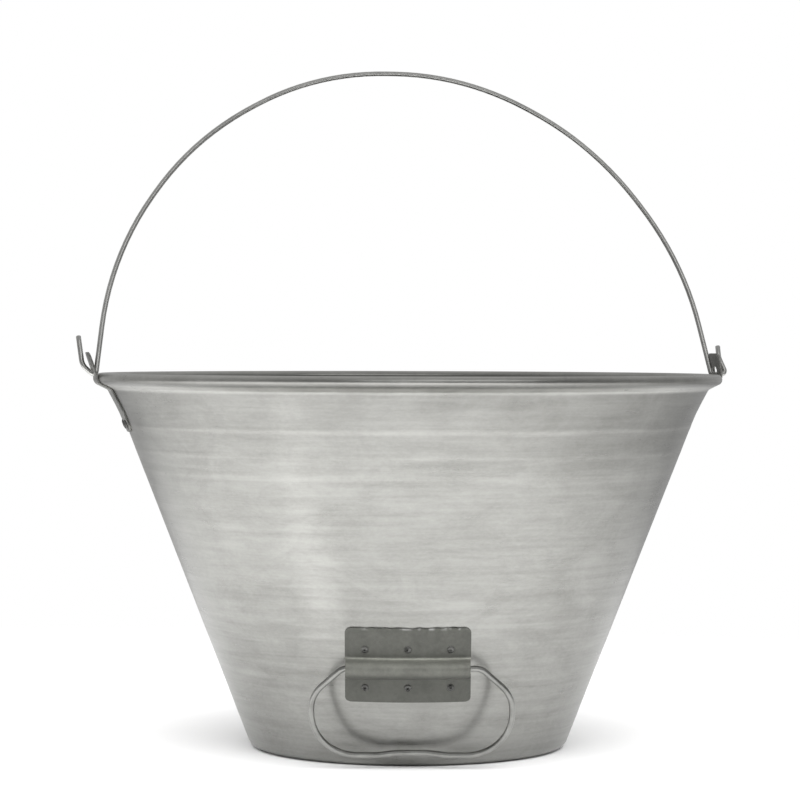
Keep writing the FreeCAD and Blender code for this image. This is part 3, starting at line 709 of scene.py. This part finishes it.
def make_rivet(node, turn, height, spot, head, rise, seat, punch, material):
    """One rivet, set by hand: it leans a little, and its punch mark is off centre."""
    across, along = spot
    outline = rivet_outline(head, rise)
    level, slope, normal = wall_axes(turn, height, across, along)
    foot = on_wall(turn, height, across, along)
    seed = Vector((across, along + height, turn * 7))
    lean = Vector((noise.noise(seed), noise.noise(seed + Vector((5, 5, 5))), 0)) * 0.16

    def shape(angle, place):
        radius, rise_here = outline[place]
        wobble = 1 + 0.05 * noise.noise(seed + Vector((math.cos(angle), math.sin(angle), radius)))
        east, north = radius * wobble * math.cos(angle), radius * wobble * math.sin(angle)
        if place >= len(outline) - 5:
            east, north = east + punch[0], north + punch[1]
        lift = rise_here + (seat if rise_here > 0 else 0)
        tilt = (lean.x * east + lean.y * north) if rise_here > 1.2 else 0
        return foot + (level * east + slope * north + normal * (lift + tilt)) * MM

    rivet = turned(f"{node}_head", outline, 40, shape, "pail", material)
    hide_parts(node)
    return rivet


def make_rivets(material):
    """Four rivets in the ears and six in the handle plate."""
    for side, turn in (("left", math.pi), ("right", 0.0)):
        for number, across in enumerate((-EAR_RIVET_HALF_SPACING, EAR_RIVET_HALF_SPACING), start=1):
            make_rivet(f"{side}_ear_rivet_{number}", turn, EAR_RIVET_HEIGHT, (across, 0),
                       EAR_RIVET_HEAD, 0.85, 0.2, EAR_PUNCH_MARK, material)
    for number, (spot, punch) in enumerate(zip(RIVET_SPOTS, PUNCH_MARKS), start=1):
        make_rivet(f"plate_rivet_{number}", PLATE_TURN, PLATE_HEIGHT, spot,
                   RIVET_HEAD, 1.0, 0.0, punch, material)


# ------------------------------------------------------------------ stage, light, camera

def make_floor():
    """A plain pale floor that fades into the pale surroundings."""
    steps = 96
    angles = [2 * math.pi * step / steps for step in range(steps)]
    ring = [(FLOOR_REACH * math.cos(angle), FLOOR_REACH * math.sin(angle), 0) for angle in angles]
    mesh = bpy.data.meshes.new("floor")
    mesh.from_pydata(ring, [], [tuple(range(steps))])
    floor = bpy.data.objects.new("floor", mesh)
    floor.location = FLOOR_CENTRE
    bpy.context.collection.objects.link(floor)
    material, tree, surface = shader("pale_floor")
    surface.inputs["Base Color"].default_value = (0.86, 0.86, 0.86, 1)
    surface.inputs["Roughness"].default_value = 0.9
    surface.inputs["Specular IOR Level"].default_value = 0.1
    place = tree.nodes.new("ShaderNodeTexCoord")
    distance = tree.nodes.new("ShaderNodeVectorMath")
    distance.operation = "LENGTH"
    tree.links.new(place.outputs["Object"], distance.inputs[0])
    tree.links.new(ranged(tree, distance.outputs["Value"], 1.0, 0.0, FLOOR_FADE),
                   surface.inputs["Alpha"])
    mesh.materials.append(material)


def background(tree, strength):
    """A neutral background shader whose strength is a number or a socket."""
    node = tree.nodes.new("ShaderNodeBackground")
    node.inputs["Color"].default_value = (1, 1, 1, 1)
    if isinstance(strength, (int, float)):
        node.inputs["Strength"].default_value = strength
    else:
        tree.links.new(strength, node.inputs["Strength"])
    return node.outputs[0]


def make_world():
    """A white studio to look at, which is dimmer where the metal mirrors it."""
    world = bpy.data.worlds.new("studio")
    bpy.context.scene.world = world
    world.use_nodes = True
    tree = world.node_tree
    tree.nodes.clear()
    output = tree.nodes.new("ShaderNodeOutputWorld")
    place = tree.nodes.new("ShaderNodeTexCoord")
    split = tree.nodes.new("ShaderNodeSeparateXYZ")
    tree.links.new(place.outputs["Generated"], split.inputs[0])
    # The mirrored surroundings brighten towards the back, overhead and below the horizon.
    back = ranged(tree, split.outputs["Y"], 0.12, 0.46, (-0.8, 0.6))
    above = ranged(tree, split.outputs["Z"], 0.0, 0.20, (0.1, 0.9))
    below = ranged(tree, split.outputs["Z"], 0.16, 0.0, (-0.5, 0.0))
    mirrored = background(tree, combined(tree, "ADD", back, combined(tree, "ADD", above, below)))
    rays = tree.nodes.new("ShaderNodeLightPath")
    shown = background(tree, 1.0)
    for ray, seen in (("Is Glossy Ray", mirrored), ("Is Camera Ray", background(tree, 1.0))):
        mix = tree.nodes.new("ShaderNodeMixShader")
        tree.links.new(rays.outputs[ray], mix.inputs[0])
        tree.links.new(shown, mix.inputs[1])
        tree.links.new(seen, mix.inputs[2])
        shown = mix.outputs[0]
    tree.links.new(shown, output.inputs["Surface"])


def add_lamp(light, place, aim):
    """Hang a light at a place and point it."""
    lamp = bpy.data.objects.new(light.name, light)
    lamp.location = place
    lamp.rotation_mode = "QUATERNION"
    lamp.rotation_quaternion = (Vector(aim) - Vector(place)).to_track_quat("-Z", "Y")
    bpy.context.collection.objects.link(lamp)
    return lamp


def add_softbox(name, place, aim, size, power):
    """A large soft light that points at a place."""
    light = bpy.data.lights.new(name, "AREA")
    light.shape = "RECTANGLE"
    light.size, light.size_y = size
    light.energy = power
    return add_lamp(light, place, aim)


def make_lights():
    """Plain soft studio light: a broad sky, a long box high in front and a strip on the floor."""
    sky = bpy.data.lights.new("broad_sky", "SUN")
    sky.energy = 3.6
    sky.angle = math.radians(70)
    add_lamp(sky, (-0.1, -1.0, 2.2), (0, 0, 0)).visible_glossy = False
    add_softbox("high_front", (0.1, -1.4, 1.1), (0, 0, 0.1), (1.8, 0.4), 3.0)
    strip = add_softbox("floor_strip", STRIP_PLACE, (*STRIP_PLACE[:2], 1.0), (0.26, 0.06), 0.019)
    strip.rotation_quaternion = Quaternion((0, 0, 1), math.radians(27)) @ Quaternion((1, 0, 0), math.pi)
    strip.visible_camera = False


def make_camera():
    """The photograph's view: low, from the front, a little off square to the ears."""
    heading = Vector((math.sin(CAMERA_TURN), math.cos(CAMERA_TURN), 0))
    gaze = heading * math.cos(CAMERA_PITCH) - Vector((0, 0, math.sin(CAMERA_PITCH)))
    right = heading.cross(Vector((0, 0, 1))).normalized()
    up = right.cross(gaze)
    level = right * math.cos(CAMERA_ROLL) + up * math.sin(CAMERA_ROLL)
    camera = bpy.data.cameras.new("camera")
    camera.sensor_width = 36.0
    camera.lens = CAMERA_LENS
    camera.shift_x = CAMERA_SHIFT
    seat = bpy.data.objects.new("camera", camera)
    axes = Matrix((level, level.cross(gaze), -gaze)).transposed()
    stand = Matrix.Translation(heading * -CAMERA_DISTANCE + Vector((0, 0, CAMERA_HEIGHT)))
    seat.matrix_world = stand @ axes.to_4x4()
    bpy.context.collection.objects.link(seat)
    bpy.context.scene.camera = seat


def build():
    """Make every piece, its finish, the stage and the camera."""
    strap_steel = dull_metal("strap_steel", (0.20, 0.20, 0.19), (0.33, 0.33, 0.315))
    bail_steel = dull_metal("bail_steel", (0.47, 0.47, 0.455), (0.58, 0.58, 0.56),
                            gloss=(0.30, 0.38), grain_scale=90.0, relief=0.004)
    handle_steel = dull_metal("handle_steel", (0.24, 0.24, 0.228), (0.34, 0.34, 0.325),
                              gloss=(0.30, 0.42), grain_scale=120.0, relief=0.006)
    rivet_steel = dull_metal("rivet_steel", (0.07, 0.07, 0.066), (0.12, 0.12, 0.113),
                             gloss=(0.3, 0.42), metallic=0.5)
    make_pail(spun_sheet())
    make_ear("left", math.pi, strap_steel)
    make_ear("right", 0.0, strap_steel)
    make_bail(bail_steel)
    make_handle_plate(plate_steel())
    make_drop_handle(handle_steel)
    make_rivets(rivet_steel)
    rim_wire = frame["nodes"]["rim_wire"]
    rim_wire.data.materials.clear()
    rim_wire.data.materials.append(dull_metal("rim_wire_steel", (0.3, 0.3, 0.29),
                                              (0.45, 0.45, 0.43)))
    make_floor()
    make_world()
    make_lights()
    make_camera()
    bpy.context.scene.view_settings.view_transform = "Standard"


build()
